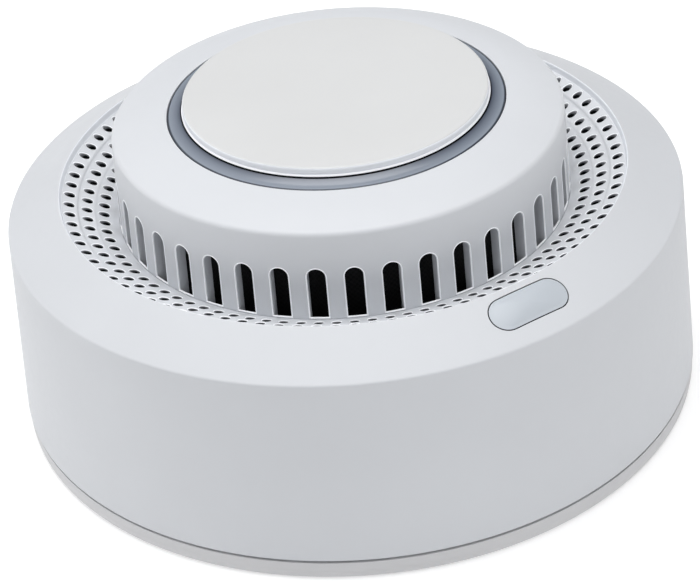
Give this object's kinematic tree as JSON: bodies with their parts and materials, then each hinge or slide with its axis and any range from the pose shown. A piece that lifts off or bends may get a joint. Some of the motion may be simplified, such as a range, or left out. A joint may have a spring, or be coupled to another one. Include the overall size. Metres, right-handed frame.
{
  "type": "ceiling smoke alarm",
  "caption": "Round twist-off ceiling smoke alarm: drum body, slotted sensing turret, perforated vent ring, large test button in a light ring, small hush button.",
  "frame": {"origin": "centre of the underside, the face that goes against the ceiling", "axes": "+Z from the ceiling side to the room side, along the turret's axis; -Y is the front, with the hush button to its right"},
  "size_m": [0.0986, 0.0986, 0.0473],
  "materials": {
    "white_shell": "fine matte moulded",
    "bracket_plastic": "matte moulded",
    "rear_plastic": "matte moulded",
    "hush_grey": "satin moulded",
    "light_guide": "smoky translucent",
    "black_plastic": "matte black",
    "circuit_board": "solder mask",
    "component_black": "matte black",
    "lamp_plastic": "smooth",
    "cell_jacket": "printed jacket, plain",
    "plated_steel": "nickel plated",
    "sounder_brass": "plain",
    "screen_steel": "blackened woven mesh",
    "ribbon_plastic": "flat cable"
  },
  "bodies": {
    "bracket": {"mounting_bracket": "bracket_plastic"},
    "head": {"rear_chassis": "rear_plastic", "battery_door": "rear_plastic", "drum_shell": "white_shell", "grille_ring": "white_shell", "turret_shell": "white_shell", "light_ring": "light_guide", "main_board": "circuit_board", "controller_chip": "component_black", "sounder_coil": "component_black", "sounder_housing": "black_plastic", "sounder_disc": "sounder_brass", "sounder_cap": "black_plastic", "chamber_base": "black_plastic", "chamber_cover": "black_plastic", "insect_screen": "screen_steel", "infrared_emitter": "lamp_plastic", "photodiode": "component_black", "top_board": "circuit_board", "board_link": "ribbon_plastic", "ring_led_1": "lamp_plastic", "ring_led_2": "lamp_plastic", "ring_led_3": "lamp_plastic", "ring_led_4": "lamp_plastic", "test_switch": "component_black", "hush_board": "circuit_board", "hush_switch": "component_black", "battery_1": "cell_jacket", "battery_2": "cell_jacket", "contact_spring_1": "plated_steel", "contact_spring_2": "plated_steel", "contact_plate_1": "plated_steel", "contact_plate_2": "plated_steel", "case_screw_1": "plated_steel", "case_screw_2": "plated_steel", "case_screw_3": "plated_steel"},
    "test_button": {"test_button": "white_shell"},
    "test_plunger": {"test_switch_plunger": "lamp_plastic"},
    "hush_button": {"hush_button": "hush_grey"},
    "hush_plunger": {"hush_switch_plunger": "lamp_plastic"}
  },
  "joints": [
    {"name": "head_twist", "type": "hinge", "parent": "bracket", "child": "head", "pos_m": [0, 0, 0.003], "axis": [0, 0, 1], "range_deg": [0, 15]},
    {"name": "test_button_press", "type": "slide", "parent": "head", "child": "test_button", "axis": [0, 0, -1], "range_m": [0, 0.0008], "stiffness_N_per_m": 3000, "springref_m": -0.0005},
    {"name": "test_plunger_press", "type": "slide", "parent": "head", "child": "test_plunger", "axis": [0, 0, -1], "range_m": [0, 0.0003]},
    {"name": "hush_button_press", "type": "slide", "parent": "head", "child": "hush_button", "axis": [-0.2455, 0.4022, -0.882], "range_m": [0, 0.0006], "stiffness_N_per_m": 2500, "springref_m": -0.0005},
    {"name": "hush_plunger_press", "type": "slide", "parent": "head", "child": "hush_plunger", "axis": [-0.2455, 0.4022, -0.882], "range_m": [0, 0.00025]}
  ],
  "couplings": [
    {"joint": "test_plunger_press", "follows": "test_button_press", "ratio": 0.37},
    {"joint": "hush_plunger_press", "follows": "hush_button_press", "ratio": 0.41}
  ]
}
